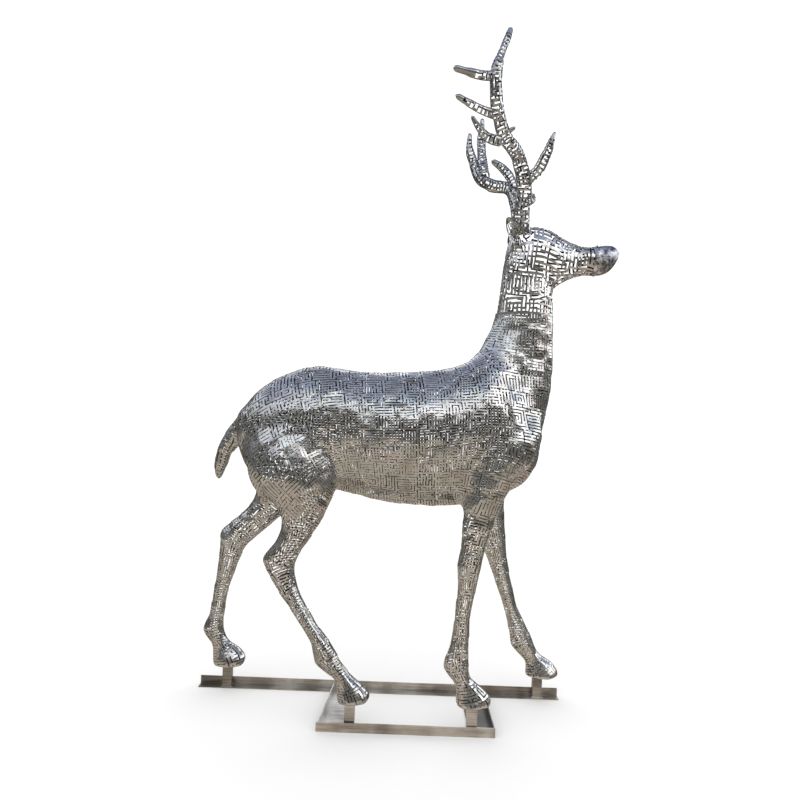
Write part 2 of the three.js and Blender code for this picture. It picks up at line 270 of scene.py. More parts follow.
def soften(mesh):
    """Evens out the facets of the solid: much on the trunk, little on thin parts."""
    co = mesh_points(mesh)
    n = len(co)
    ends = np.zeros(len(mesh.edges) * 2, int)
    mesh.edges.foreach_get("vertices", ends)
    a, b = ends.reshape(-1, 2).T
    count = np.bincount(ends, minlength=n)[:, None]
    x, y, z = co.T
    rounds = np.full(n, SMOOTH_TRUNK)
    rounds[z > NECK_SEAM + HEAD_CLEAR] = SMOOTH_HEAD
    rounds[z < LEG_TOP] = SMOOTH_LIMBS
    rounds[x < TAIL_ROOT] = SMOOTH_LIMBS
    rounds[z > ANTLER_FOOT] = SMOOTH_THIN
    rounds[(z > EAR_FOOT) & (abs(y - MIDDLE) > EAR_OUT)] = SMOOTH_THIN

    def step(share, who):
        total = np.zeros_like(co)
        np.add.at(total, a, co[b])
        np.add.at(total, b, co[a])
        co[who] += share * (total / count - co)[who]

    for r in range(int(rounds.max())):
        step(SMOOTH_STEP, rounds > r)
        if r < PUSHED_BACK:
            step(-SMOOTH_STEP, (rounds <= SMOOTH_HEAD) & (rounds > r))
    mesh.vertices.foreach_set("co", co.ravel())
    mesh.update()


def muzzle_sheet(mesh):
    """Closed sheet over the end of the muzzle: vertices, polygons and which polygons face inwards."""
    work = bmesh.new()
    work.from_mesh(mesh)
    everything = work.verts[:] + work.edges[:] + work.faces[:]
    bmesh.ops.bisect_plane(
        work, geom=everything, plane_co=(NOSE_SHEET, 0, 0), plane_no=(1, 0, 0), clear_inner=True
    )
    work.normal_update()
    work.verts.index_update()
    n = len(work.verts)
    outer = [v.co + v.normal * SHEET_PROUD for v in work.verts]
    inner = [v.co - v.normal * (SHEET_THICK - SHEET_PROUD) for v in work.verts]
    upper = [[v.index for v in f.verts] for f in work.faces]
    rim = []
    for loop in (e.link_loops[0] for e in work.edges if e.is_boundary):
        a, b = loop.vert.index, loop.link_loop_next.vert.index
        rim.append([b, a, a + n, b + n])
    lower = [[v + n for v in reversed(f)] for f in upper]
    work.free()
    flags = [0] * (len(upper) + len(rim)) + [1] * len(lower)
    return np.array(outer + inner), upper + rim + lower, flags


def cut_away(work, place, away):
    """Removes what lies beyond a plane."""
    everything = work.verts[:] + work.edges[:] + work.faces[:]
    bmesh.ops.bisect_plane(work, geom=everything, plane_co=place, plane_no=away, clear_outer=True)


def take_up(mesh, name):
    """New object in the scene that operators work on."""
    item = bpy.data.objects.new(name, mesh)
    bpy.context.scene.collection.objects.link(item)
    bpy.ops.object.select_all(action="DESELECT")
    bpy.context.view_layer.objects.active = item
    item.select_set(True)
    return item


def even_shell():
    """Deer without its antlers as one closed, evened-out mesh of triangles."""
    shell = take_up(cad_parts["deer"].data.copy(), "shell")
    work = bmesh.new()
    work.from_mesh(shell.data)
    bmesh.ops.remove_doubles(work, verts=work.verts[:], dist=SAME_PLACE)
    cut_away(work, (0, 0, ANTLER_FOOT), (0, 0, 1))
    bmesh.ops.holes_fill(work, edges=[e for e in work.edges if e.is_boundary], sides=0)
    work.to_mesh(shell.data)
    work.free()
    shell.data.remesh_voxel_size = VOXEL
    bpy.ops.object.voxel_remesh()
    soften(shell.data)
    work = bmesh.new()
    work.from_mesh(shell.data)
    bmesh.ops.triangulate(work, faces=work.faces[:])
    work.to_mesh(shell.data)
    work.free()
    mesh = shell.data
    bpy.data.objects.remove(shell)
    return mesh


def lattice(mesh, cuts, pitch):
    """Even square lattice over part of the shell: points, normals and four-sided faces."""
    part = take_up(mesh.copy(), "lattice")
    work = bmesh.new()
    work.from_mesh(part.data)
    for place, away in cuts:
        cut_away(work, place, away)
    bmesh.ops.remove_doubles(work, verts=work.verts[:], dist=CLOSE_BY)
    bmesh.ops.dissolve_degenerate(work, edges=work.edges[:], dist=SLIVER)
    bmesh.ops.triangulate(work, faces=work.faces[:])
    area = sum(f.calc_area() for f in work.faces)
    work.to_mesh(part.data)
    work.free()
    bpy.ops.object.quadriflow_remesh(
        mode="FACES", target_faces=round(area / pitch**2), seed=LATTICE_SEED, use_preserve_boundary=True
    )
    points = mesh_points(part.data)
    normals = np.zeros(len(points) * 3)
    part.data.vertices.foreach_get("normal", normals)
    faces = np.zeros(len(part.data.polygons) * 4, int)
    part.data.loops.foreach_get("vertex_index", faces)
    bpy.data.objects.remove(part)
    return points, normals.reshape(-1, 3), faces.reshape(-1, 4)


def seam_band(mesh):
    """Narrow band round the neck over the seam: vertices, polygons and which polygons face inwards."""
    work = bmesh.new()
    work.from_mesh(mesh)
    cut_away(work, (0, 0, NECK_SEAM), (0, 0, 1))
    ring = [v for v in work.verts if v.is_boundary and abs(v.co.z - NECK_SEAM) < ON_SEAM]
    centre = sum((v.co for v in ring), Vector()) / len(ring)
    ring = sorted((v.co.copy() for v in ring), key=lambda c: math.atan2(c.y - centre.y, c.x - centre.x))
    work.free()
    ring = ring[::2]
    n = len(ring)
    points = []
    inside = SHEET_PROUD - SHEET_THICK
    for out, up in ((SHEET_PROUD, -1), (SHEET_PROUD, 1), (inside, 1), (inside, -1)):
        for c in ring:
            away = Vector((c.x - centre.x, c.y - centre.y, 0)).normalized()
            points.append(c + away * out + Vector((0, 0, up * SEAM_HALF_HEIGHT)))
    polygons, flags = [], []
    for side in range(4):
        a, b = side * n, (side + 1) % 4 * n
        for k in range(n):
            m = (k + 1) % n
            polygons.append([a + k, a + m, b + m, b + k])
            flags.append(1 if side == 2 else 0)
    return np.array(points), polygons, flags


class Weave:
    """Walks over the lattice by half edges, which are numbered face * 4 + corner."""

    def __init__(self, faces):
        self.start = faces.ravel().tolist()
        self.end = np.roll(faces, -1, axis=1).ravel().tolist()
        by_ends = {}
        for h, ends in enumerate(zip(self.start, self.end)):
            by_ends[ends] = h
        self.twin = [by_ends.get((e, s), -1) for s, e in zip(self.start, self.end)]
        self.valence = np.bincount(faces.ravel()).tolist()

    def next(self, h):
        return h - 3 if h % 4 == 3 else h + 1

    def previous(self, h):
        return h + 3 if h % 4 == 0 else h - 1

    def straight(self, h):
        """The half edge that carries on past the end of h, or -1 where the lattice is irregular."""
        if h < 0 or self.valence[self.end[h]] != 4:
            return -1
        turn = self.twin[self.next(h)]
        return self.next(turn) if turn >= 0 else -1

    def across(self, h):
        """The half edge one row further in, running the same way as h."""
        return self.twin[self.next(self.next(h))] if h >= 0 else -1

    def patch(self, h, wide, tall, free):
        """Grid of wide by tall lattice points that starts along h, if all of them are free."""
        row = [h]
        while len(row) < wide - 1:
            row.append(self.straight(row[-1]))
        grid = []
        for j in range(tall):
            if min(row) < 0:
                return None
            line = [self.start[row[0]]] + [self.end[e] for e in row]
            if any(self.end[e] != self.start[f] for e, f in zip(row, row[1:])):
                return None
            if not all(free[v] for v in line):
                return None
            grid.append(line)
            if j + 1 < tall:
                row = [self.across(e) for e in row]
        flat = [v for line in grid for v in line]
        return grid if len(set(flat)) == len(flat) else None


def blocks(weave, n):
    """Lays nearly square blocks of lattice points next to each other until every point has one."""
    free = [True] * n
    made = []

    def lay(h, sizes):
        for wide in sizes:
            for tall in sizes:
                if abs(wide - tall) > SIDES_DIFFER:
                    continue
                grid = weave.patch(h, wide, tall, free)
                if grid:
                    for line in grid:
                        for v in line:
                            free[v] = False
                    made.append(grid)
                    return wide, tall
        return None

    def neighbours(h, wide, tall):
        """Half edges where blocks on the four sides of a laid block could start."""
        edge = h
        for _ in range(wide - 2):
            edge = weave.straight(edge)
        yield weave.straight(weave.straight(edge))
        side = h
        for _ in range(tall):
            side = weave.across(side)
        yield side
        back = weave.straight(weave.straight(weave.twin[h]))
        yield weave.twin[back] if back >= 0 else -1
        yield weave.across(weave.twin[h])

    order = list(range(len(weave.start)))
    rng.shuffle(order)
    queue = deque()
    for h in order:
        queue.append(h)
        while queue:
            g = queue.popleft()
            if g < 0 or not free[weave.start[g]]:
                continue
            first = rng.choice(FIRST_SIDES)
            laid = lay(g, [first] + [s for s in BLOCK_SIDES if s < first])
            if laid:
                queue.extend(neighbours(g, *laid))
    for sizes in FILLING_SIDES:
        for h in order:
            if free[weave.start[h]]:
                lay(h, sizes)
    for v in range(n):
        if free[v]:
            made.append([[v]])
    return made


def motif(grid):
    """Strokes that fill one block: bars, combs, nested bends, rings, coils or a small maze."""
    tall, wide = len(grid), len(grid[0])
    if rng.random() < 0.5:
        grid = [list(line) for line in zip(*grid)]
        tall, wide = wide, tall
    if rng.random() < 0.5:
        grid = grid[::-1]
    strokes = []

    def link(i, j, k, m):
        strokes.append((grid[j][i], grid[m][k]))

    kind = rng.choices(tuple(MOTIFS), tuple(MOTIFS.values()))[0]
    if wide < 3 or tall < 3:
        kind = "snake"
    if kind == "bends":
        for j in range(tall):
            for i in range(wide):
                ring = min(i, wide - 1 - i, j)
                if j + 1 < tall and ring == min(i, wide - 1 - i) and ring == min(i, wide - 1 - i, j + 1):
                    link(i, j, i, j + 1)
                if i + 1 < wide and ring == j == min(i + 1, wide - 2 - i, j):
                    link(i, j, i + 1, j)
    elif kind == "comb":
        for j in range(tall):
            for i in range(wide - 1):
                link(i, j, i + 1, j)
            if j + 1 < tall:
                link(0, j, 0, j + 1)
    elif kind == "teeth":
        for j in range(tall):
            low, high = (0, wide - 2) if j % 2 else (1, wide - 1)
            for i in range(low, high):
                link(i, j, i + 1, j)
            if j + 1 < tall:
                link(0, j, 0, j + 1)
                link(wide - 1, j, wide - 1, j + 1)
    elif kind == "snake":
        for j in range(tall):
            for i in range(wide - 1):
                link(i, j, i + 1, j)
            if j + 1 < tall:
                turn = wide - 1 if j % 2 else 0
                link(turn, j, turn, j + 1)
    elif kind == "rings":
        for j in range(tall):
            for i in range(wide):
                ring = min(i, wide - 1 - i, j, tall - 1 - j)
                if i + 1 < wide and ring == min(i + 1, wide - 2 - i, j, tall - 1 - j):
                    link(i, j, i + 1, j)
                if j + 1 < tall and ring == min(i, wide - 1 - i, j + 1, tall - 2 - j):
                    link(i, j, i, j + 1)
    elif kind == "coil":
        left = {(i, j) for i in range(wide) for j in range(tall)}
        at, way = (0, 0), (1, 0)
        left.discard(at)
        while left:
            to = (at[0] + way[0], at[1] + way[1])
            if to not in left:
                way = (-way[1], way[0])
                to = (at[0] + way[0], at[1] + way[1])
                if to not in left:
                    break
            link(*at, *to)
            left.discard(to)
            at = to
    else:
        left = {(i, j) for i in range(wide) for j in range(tall)}
        trail = [(rng.randrange(wide), rng.randrange(tall))]
        left.discard(trail[0])
        way = (1, 0)
        while trail:
            i, j = trail[-1]
            ways = [(1, 0), (-1, 0), (0, 1), (0, -1)]
            rng.shuffle(ways)
            if rng.random() < STRAIGHT_ON:
                ways.insert(0, way)
            for di, dj in ways:
                if (i + di, j + dj) in left:
                    link(i, j, i + di, j + dj)
                    left.discard((i + di, j + dj))
                    trail.append((i + di, j + dj))
                    way = (di, dj)
                    break
            else:
                trail.pop()
    return strokes


class Clusters:
    """Points that hang together, as links between them are added."""

    def __init__(self, n):
        self.group = list(range(n))

    def root(self, v):
        group = self.group
        while group[v] != v:
            group[v] = group[group[v]]
            v = group[v]
        return v

    def join(self, a, b):
        self.group[self.root(a)] = self.root(b)


def join_all(weave, chosen, n):
    """Adds strips until everything hangs together, and a few more besides."""
    clusters = Clusters(n)
    for a, b in chosen:
        clusters.join(a, b)
    loose = sorted({(min(a, b), max(a, b)) for a, b in zip(weave.start, weave.end)} - chosen)
    rng.shuffle(loose)
    for a, b in loose:
        if clusters.root(a) != clusters.root(b):
            clusters.join(a, b)
            chosen.add((a, b))
        elif rng.random() < STROKES_ADDED:
            chosen.add((a, b))


def woven(points, faces):
    """Chooses the lattice edges that are strips, so that all of them hang together."""
    weave = Weave(faces)
    tiles = blocks(weave, len(points))
    chosen = set()
    for grid in tiles:
        for a, b in motif(grid):
            if rng.random() > STROKES_DROPPED:
                chosen.add((min(a, b), max(a, b)))
    join_all(weave, chosen, len(points))
    return weave, tiles, chosen


def settled(owner, chosen):
    """Owner of each lattice point: small patches cut off by a boundary go to the piece they hang on."""
    clusters = Clusters(len(owner))
    for a, b in chosen:
        if owner[a] == owner[b]:
            clusters.join(a, b)
    members = Counter(clusters.root(v) for v in range(len(owner)))
    moved = {}
    for a, b in sorted(chosen):
        for v, w in ((a, b), (b, a)):
            small, large = clusters.root(v), clusters.root(w)
            if owner[v] != owner[w] and members[small] < SMALLEST_PATCH <= members[large]:
                moved[small] = owner[w]
    return [moved.get(clusters.root(v), name) for v, name in enumerate(owner)]


def body_share(points):
    """Half width of the body's strips at each lattice point, as a share of the pitch."""
    x, y, z = points.T
    share = np.full(len(points), SHARE_BACK)
    share[(z < BELLY_TOP) & (x < CHEST_FRONT)] = SHARE_BELLY
    share[(z > NECK_FOOT) & (x > NECK_BACK)] = SHARE_NECK
    share[z < LEG_TOP] = SHARE_LEG
    share[z < HOOF_TOP] = SHARE_HOOF
    share[(y > MIDDLE + FAR_SIDE) & (z > LEG_TOP) & (z < NECK_FOOT)] = SHARE_FAR
    return share


def head_share(points):
    """The same for the head, where the strips get wider towards the muzzle end."""
    rise = np.clip((points[:, 0] - NOSE_SHEET + MUZZLE_REACH) / MUZZLE_REACH, 0, 1)
    return SHARE_HEAD + (SHARE_MUZZLE - SHARE_HEAD) * rise


def varied(share, tiles):
    """Strip widths that differ a little from block to block."""
    for grid in tiles:
        share[[v for line in grid for v in line]] += rng.uniform(-SHARE_VARIES, SHARE_VARIES)
    return share


def uneven(points, normals, tiles, pitch):
    """Points with each block leaning a little and each crossing a little astray, as hand-welded."""
    lift = np.zeros(len(points))
    for grid in tiles:
        flat = np.array([v for line in grid for v in line])
        spread = points[flat] - points[flat].mean(axis=0)
        slope = np.array([rng.uniform(-1, 1) for _ in range(3)])
        lift[flat] += np.clip(spread @ slope / TILT_REACH, -1, 1) * TILE_TILT
    lift += np.array([rng.uniform(-1, 1) for _ in range(len(points))]) * NODE_RIPPLE
    stray = np.array([[rng.uniform(-1, 1) for _ in range(3)] for _ in range(len(points))])
    stray -= normals * (stray * normals).sum(axis=1)[:, None]
    return points + normals * lift[:, None] + stray * NODE_STRAY * pitch


def plates(points, normals, faces, weave, chosen, share, sheet, keep, owner):
    """Strips along the chosen edges and sheet on some faces: {name: (vertices, polygons, inward flags)}."""
    corner = np.arange(4)
    ahead, opposite, behind = (faces[:, (corner + k) % 4] for k in (1, 2, 3))
    s = share[faces][..., None]

    def corner_mix(values):
        own = values[faces] * (1 - s) ** 2
        return own + (values[ahead] + values[behind]) * s * (1 - s) + values[opposite] * s * s

    top = corner_mix(points).reshape(-1, 3)
    out = corner_mix(normals).reshape(-1, 3)
    out /= np.linalg.norm(out, axis=1)[:, None]
    low = top - out * STRIP_THICK
    start, end, twin = weave.start, weave.end, weave.twin
    rings = {}
    for h, v in enumerate(start):
        if v in rings or not keep[v]:
            continue
        ring, g = [], h
        while g >= 0:
            ring.append(g)
            g = twin[weave.previous(g)]
            if g == h:
                rings[v] = ring
                break
    clusters = Clusters(len(points))
    kept = {(a, b) for a, b in chosen if a in rings and b in rings}
    for a, b in kept:
        clusters.join(a, b)
    for a, b in sorted({(min(a, b), max(a, b)) for a, b in zip(start, end)} - kept):
        if a in rings and b in rings and clusters.root(a) != clusters.root(b):
            clusters.join(a, b)
            kept.add((a, b))
    for f in np.nonzero(sheet)[0]:
        for k in range(3):
            clusters.join(faces[f][k], faces[f][k + 1])
    members = Counter(clusters.root(v) for v in rings)
    rings = {v: ring for v, ring in rings.items() if members[clusters.root(v)] >= SMALLEST_CLUSTER}
    edge_owner = {}
    cells = []
    for h in range(len(start)):
        t = twin[h]
        if t <= h:
            continue
        a, b = start[h], end[h]
        in_sheet = sheet[h // 4] or sheet[t // 4]
        is_strip = (min(a, b), max(a, b)) in kept and a in rings and b in rings
        if not is_strip and not in_sheet:
            continue
        name = owner[a]
        edge_owner[h] = edge_owner[t] = name
        bare = (
            a not in rings,
            not sheet[t // 4],
            b not in rings or owner[b] != name,
            not sheet[h // 4],
        )
        cells.append((name, (h, weave.next(t), t, weave.next(h)), bare))
    for v, ring in rings.items():
        bare = tuple(edge_owner.get(weave.previous(g)) != owner[v] for g in ring)
        cells.append((owner[v], ring, bare))
    for f in np.nonzero(sheet)[0].tolist():
        ring = tuple(f * 4 + k for k in range(4))
        name = owner[start[ring[0]]]
        cells.append((name, ring, tuple(edge_owner.get(h) != name for h in ring)))
    made = {}
    for name in sorted({cell[0] for cell in cells}):
        number = {}
        polygons = []
        mine = [cell for cell in cells if cell[0] == name]
        for _, ring, _ in mine:
            for c in ring:
                number.setdefault(c, len(number))
        n = len(number)
        flags = []
        for _, ring, bare in mine:
            upper = [number[c] for c in ring]
            polygons.append(upper)
            polygons.append([c + n for c in reversed(upper)])
            flags += [0, 1]
            for k, is_bare in enumerate(bare):
                if is_bare:
                    a, b = upper[k], upper[(k + 1) % len(upper)]
                    polygons.append([b, a, a + n, b + n])
                    flags.append(0)
        order = np.array(list(number))
        made[name] = (np.concatenate([top[order], low[order]]), polygons, flags)
    return made


def joined(parts):
    """Several sets of vertices, polygons and flags as one."""
    vertices, polygons, flags = [], [], []
    for points, faces, inner in parts:
        first = sum(len(v) for v in vertices)
        vertices.append(points)
        polygons += [[c + first for c in face] for face in faces]
        flags += inner
    return np.concatenate(vertices), polygons, flags


def branch_path(rows, side):
    """Branch as evenly spaced points and radii in metres, with a rounded tip."""
    rows = [np.array((x, side * y, z, r)) / 1000 + (0, MIDDLE, 0, 0) for x, y, z, r in rows]
    fine = []
    for i in range(len(rows) - 1):
        before, after = rows[max(i - 1, 0)], rows[min(i + 2, len(rows) - 1)]
        for t in np.linspace(0, 1, PATH_STEPS, endpoint=False):
            leave, arrive = (rows[i + 1] - before) / 2, (after - rows[i]) / 2
            fine.append(
                (2 * t**3 - 3 * t**2 + 1) * rows[i]
                + (3 * t**2 - 2 * t**3) * rows[i + 1]
                + (t**3 - 2 * t**2 + t) * leave
                + (t**3 - t**2) * arrive
            )
    fine.append(rows[-1])
    fine = np.array(fine)
    along = np.concatenate([[0], np.cumsum(np.linalg.norm(np.diff(fine[:, :3], axis=0), axis=1))])
    stops = np.linspace(0, along[-1], max(3, round(along[-1] / ANTLER_PITCH) + 1))
    path = np.stack([np.interp(stops, along, fine[:, k]) for k in range(4)], axis=1)
    run = path[-1, :3] - path[-2, :3]
    run /= np.linalg.norm(run)
    tip = path[-1]
    ends = [np.append(tip[:3] + run * reach * tip[3], tip[3] * part) for reach, part in ANTLER_TIP_ROWS]
    return np.concatenate([path, ends])


def depth_inside(spots, path):
    """How deep each spot is inside a branch, below zero where it is outside."""
    best = np.full(len(spots), -1.0)
    for a, b in zip(path, path[1:]):
        run = b[:3] - a[:3]
        t = np.clip((spots - a[:3]) @ run / (run @ run), 0, 1)
        gap = np.linalg.norm(spots - (a[:3] + t[:, None] * run), axis=1)
        best = np.maximum(best, a[3] + t * (b[3] - a[3]) - gap)
    return best


def grid_faces(rows, wide, steps):
    """Four-sided faces of a grid of points that is wide across; as many steps as points close a ring."""
    faces = []
    for i in range(rows - 1):
        for k in range(steps):
            a, b = i * wide + k, i * wide + (k + 1) % wide
            faces.append((a, b, b + wide, a + wide))
    return np.array(faces)


def branch_tube(path):
    """Lattice round one branch: points, normals and four-sided faces."""
    around = max(FEWEST_AROUND, round(2 * math.pi * float(path[:, 3].mean()) / ANTLER_PITCH))
    points, normals = [], []
    for i, row in enumerate(path):
        run = Vector(path[min(i + 1, len(path) - 1), :3] - path[max(i - 1, 0), :3]).normalized()
        u = run.cross(ANTLER_LEAN).normalized()
        v = run.cross(u)
        for k in range(around):
            turn = 2 * math.pi * k / around
            out = u * math.cos(turn) + v * math.sin(turn)
            points.append(Vector(row[:3]) + out * row[3])
            normals.append(out)
    return np.array(points), np.array(normals), grid_faces(len(path), around, around)


def antler(branches, side, name, head):
    """Openwork of one antler: every branch is a tube of strips, open where it runs inside another."""
    paths = [branch_path(rows, side) for rows, _ in branches]
    parts = []
    for own, ((_, closed), path) in enumerate(zip(branches, paths)):
        points, normals, faces = branch_tube(path)
        weave = Weave(faces)
        tiles = blocks(weave, len(points))
        around = len(points) // len(path)
        chosen = set()
        for i in range(len(path)):
            for k in range(around):
                a, b = i * around + k, i * around + (k + 1) % around
                if rng.random() < ANTLER_RING_ODDS:
                    chosen.add((min(a, b), max(a, b)))
                odds = 1 if k % (around // 2) == 0 else ANTLER_RUN_ODDS
                if i + 1 < len(path) and rng.random() < odds:
                    chosen.add((a, a + around))
        join_all(weave, chosen, len(points))
        keep = np.ones(len(points), bool)
        for other, beside in enumerate(paths):
            if other != own:
                keep &= depth_inside(points, beside) < BRANCH_LAP
        for i in np.nonzero(points[:, 2] < ANTLER_FOOT + FOOT_REACH)[0]:
            at, out, _, _ = head.find_nearest(Vector(points[i]))
            keep[i] &= (Vector(points[i]) - at).dot(out) > -BRANCH_LAP
        tip = path[-len(ANTLER_TIP_ROWS) - 1, :3]
        middle = points[faces].mean(axis=1)
        sheet = np.linalg.norm(middle - tip, axis=1) < closed / 1000
        sheet &= keep[faces].all(axis=1)
        share = varied(np.full(len(points), SHARE_ANTLER), tiles)
        points = uneven(points, normals, tiles, ANTLER_PITCH)
        part = plates(points, normals, faces, weave, chosen, share, sheet, keep, [name] * len(points))
        parts.append(part[name])
    return joined(parts)


def ear_axes(ends, side):
    """Root, run, sideways and open directions of an ear in metres."""
    root, tip = (Vector((x, side * y, z)) / 1000 + Vector((0, MIDDLE, 0)) for x, y, z in ends)
    run = tip - root
    heading = run.normalized()
    outward = Vector((EAR_BACKWARD, side, 0))
    outward = (outward - heading * outward.dot(heading)).normalized()
    return root, run, heading.cross(outward), outward


def in_ear(points, ends, side):
    """Which points lie on the free part of an ear."""
    root, run, sideways, outward = (np.array(v) for v in ear_axes(ends, side))
    off = points - root
    along = off @ run / (run @ run)
    aside = off @ sideways / EAR_HALF_WIDTH
    lift = off @ outward - EAR_CUP * aside**2
    return (along > EAR_FREE_FROM) & (abs(aside) < EAR_MARGIN) & (abs(lift) < EAR_GAP)


def ear(ends, side, name):
    """Cupped leaf with a closed rim and openwork inside it."""
    root, run, sideways, outward = ear_axes(ends, side)
    points = []
    for r in range(EAR_ROWS):
        t = EAR_START + EAR_LENGTH * r / (EAR_ROWS - 1)
        swell = math.sin(math.pi * (EAR_SWELL_START + EAR_SWELL_LENGTH * t)) ** EAR_SWELL_POWER
        for c in EAR_COLUMNS:
            aside = sideways * (c * EAR_HALF_WIDTH * swell)
            points.append(root + run * t + aside + outward * (c * c * EAR_CUP * swell))
    wide = len(EAR_COLUMNS)
    points, faces = np.array(points), grid_faces(EAR_ROWS, wide, wide - 1)
    normals = np.tile(np.array(outward), (len(points), 1))
    weave, _, chosen = woven(points, faces)
    column = np.arange(len(faces)) % (wide - 1)
    row = np.arange(len(faces)) // (wide - 1)
    sheet = (column == 0) | (column == wide - 2) | (row >= EAR_ROWS - 3)
    share = np.full(len(points), SHARE_EAR)
    keep = np.ones(len(points), bool)
    return plates(points, normals, faces, weave, chosen, share, sheet, keep, [name] * len(points))[name]


def top_line(points, normals, weave):
    """Lattice edges that run along the top of the head near the middle plane."""
    line = set()
    for a, b in zip(weave.start, weave.end):
        run = points[b] - points[a]
        middle = (points[a] + points[b]) / 2
        lengthwise = abs(run[1]) < TOP_SLANT * np.linalg.norm(run)
        on_top = abs(middle[1] - MIDDLE) < TOP_HALF_WIDTH and normals[a][2] > TOP_FACING
        if a < b and lengthwise and on_top:
            line.add((a, b))
    return line


def openwork():
    """Builds the deer's strips, in pieces by part of the animal."""
    mesh = even_shell()
    up, down, ahead = (0, 0, 1), (0, 0, -1), (1, 0, 0)
    points, normals, faces = lattice(mesh, [((0, 0, NECK_SEAM + LATTICE_LAP), up)], BODY_PITCH)
    weave, tiles, chosen = woven(points, faces)
    share = varied(body_share(points), tiles)
    sheet = points[faces].mean(axis=1)[:, 2] < SOLE_SHEET
    keep = points[:, 2] < NECK_SEAM + SEAM_LAP
    owner = settled([region(p) for p in points], chosen)
    points = uneven(points, normals, tiles, BODY_PITCH)
    made = plates(points, normals, faces, weave, chosen, share, sheet, keep, owner)

    ends = [((0, 0, NECK_SEAM - LATTICE_LAP), down), ((NOSE_SHEET + LATTICE_LAP, 0, 0), ahead)]
    points, normals, faces = lattice(mesh, ends, HEAD_PITCH)
    weave, tiles, chosen = woven(points, faces)
    chosen |= top_line(points, normals, weave)
    share = varied(head_share(points), tiles)
    keep = (points[:, 2] < ANTLER_FOOT - HEAD_SHORT) & (points[:, 2] > NECK_SEAM - SEAM_LAP)
    for branches, side in ((NEAR_ANTLER, -1), (FAR_ANTLER, 1)):
        keep &= depth_inside(points, branch_path(branches[0][0], side)) < DEEP_INSIDE
    keep &= ~in_ear(points, NEAR_EAR, -1) & ~in_ear(points, FAR_EAR, 1)
    points = uneven(points, normals, tiles, HEAD_PITCH)
    sheet = np.zeros(len(faces), bool)
    made |= plates(points, normals, faces, weave, chosen, share, sheet, keep, ["head"] * len(points))
    made["head"] = joined([made["head"], seam_band(mesh)])
    made["muzzle_end"] = muzzle_sheet(mesh)

    triangles = np.zeros(len(mesh.polygons) * 3, int)
    mesh.loops.foreach_get("vertex_index", triangles)
    head = BVHTree.FromPolygons(mesh_points(mesh).tolist(), triangles.reshape(-1, 3).tolist())
    made["near_antler"] = antler(NEAR_ANTLER, -1, "near_antler", head)
    made["far_antler"] = antler(FAR_ANTLER, 1, "far_antler", head)
    made["near_ear"] = ear(NEAR_EAR, -1, "near_ear")
    made["far_ear"] = ear(FAR_EAR, 1, "far_ear")
    pieces = {}
    for name, (vertices, polygons, flags) in made.items():
        mesh = bpy.data.meshes.new(name)
        mesh.from_pydata(vertices.tolist(), [], polygons)
        mesh.polygons.foreach_set("material_index", flags)
        mesh.validate()
        mesh.shade_smooth()
        mesh.set_sharp_from_angle(angle=SHARP_ANGLE)
        pieces[name] = bpy.data.objects.new(name, mesh)
    return pieces


class Graph:
    """Adds nodes to a tree and hands on their output sockets."""

    def __init__(self, tree):
        self.nodes, self.links = tree.nodes, tree.links

    def add(self, kind, result, **inputs):
        """Output of a new node of that kind."""
        return self.fill(self.nodes.new(kind), result, **inputs)

    def fill(self, node, result, **inputs):
        """Output of a node, once its inputs are set."""
        for name, value in inputs.items():
            self.put(node, name.replace("_", " "), value)
        return node.outputs[result]

    def put(self, node, name, value):
        """Links a socket to an input, or sets the input to a number or colour."""
        if isinstance(value, bpy.types.NodeSocket):
            self.links.new(value, node.inputs[name])
        else:
            node.inputs[name].default_value = value

    def place(self, which="Object"):
        return self.add("ShaderNodeTexCoord", which)

    def cloud(self, place, scale, detail=4.0):
        return self.add("ShaderNodeTexNoise", "Fac", Vector=place, Scale=scale, Detail=detail)

    def spread(self, value, start=(0, 1), to=(0, 1), shape="LINEAR"):
        """One range of a value mapped onto another."""
        node = self.nodes.new("ShaderNodeMapRange")
        node.interpolation_type = shape
        ends = {"From_Min": start[0], "From_Max": start[1], "To_Min": to[0], "To_Max": to[1]}
        return self.fill(node, "Result", Value=value, **ends)

    def ramp(self, value, stops):
        node = self.nodes.new("ShaderNodeValToRGB")
        elements = node.color_ramp.elements
        while len(elements) < len(stops):
            elements.new(0.5)
        for element, (place, colour) in zip(elements, stops):
            element.position = place
            element.color = (*colour, 1)
        self.links.new(value, node.inputs["Fac"])
        return node.outputs["Color"]

    def mix(self, factor, a, b, how="MIX"):
        node = self.nodes.new("ShaderNodeMix")
        node.data_type = "RGBA"
        node.blend_type = how
        return self.fill(node, "Result", Factor=factor, A=a, B=b)

    def total(self, a, b, share=1.0):
        """The first value, or a share of it, plus the second."""
        node = self.nodes.new("ShaderNodeMath")
        node.operation = "MULTIPLY_ADD"
        for k, value in enumerate((a, share, b)):
            self.put(node, k, value)
        return node.outputs["Value"]

    def bump(self, height, strength, distance, **below):
        relief = {"Height": height, "Strength": strength, "Distance": distance}
        return self.add("ShaderNodeBump", "Normal", **relief, **below)


def new_material(name, looks):
    """Material whose looks, given its graph, are values and sockets for inputs of the shader."""
    material = bpy.data.materials.new(name)
    material.use_nodes = True
    graph = Graph(material.node_tree)
    shader = graph.nodes["Principled BSDF"]
    for socket, value in looks(graph).items():
        graph.put(shader, socket, value)
    return material


